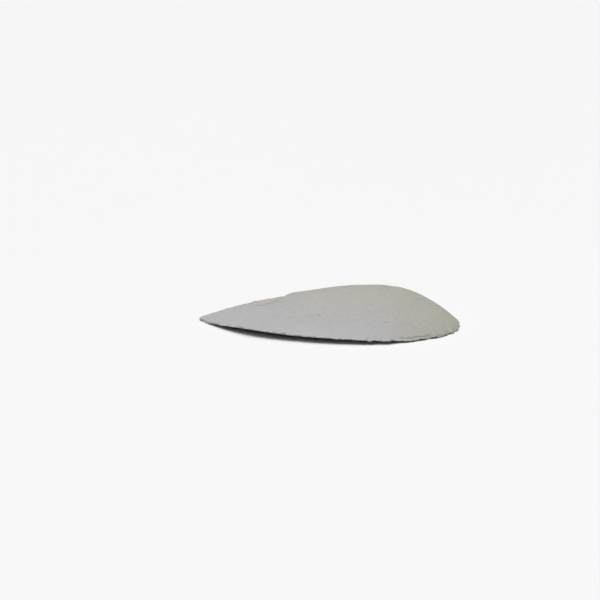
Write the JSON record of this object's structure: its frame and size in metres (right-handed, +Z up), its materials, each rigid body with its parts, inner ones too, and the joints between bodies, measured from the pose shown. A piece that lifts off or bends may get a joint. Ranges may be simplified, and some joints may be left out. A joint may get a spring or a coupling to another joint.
{
  "type": "metatarsal pad",
  "caption": "Teardrop foam dome with a flat glue face and a thin skived rim, stuck to an insole behind the ball of the foot to lift and spread the metatarsal heads.",
  "frame": {"origin": "on the flat glue face, under the middle of the outline's box", "axes": "+X from the pointed tip to the rounded broad end, which points to the toes; +Y across, the side away from the camera; +Z up, out of the dome"},
  "size_m": [0.07, 0.043, 0.0097],
  "materials": {
    "foam": "matte light grey foam with a fine ground nap"
  },
  "bodies": {
    "root": {"pad": "foam"}
  },
  "joints": []
}
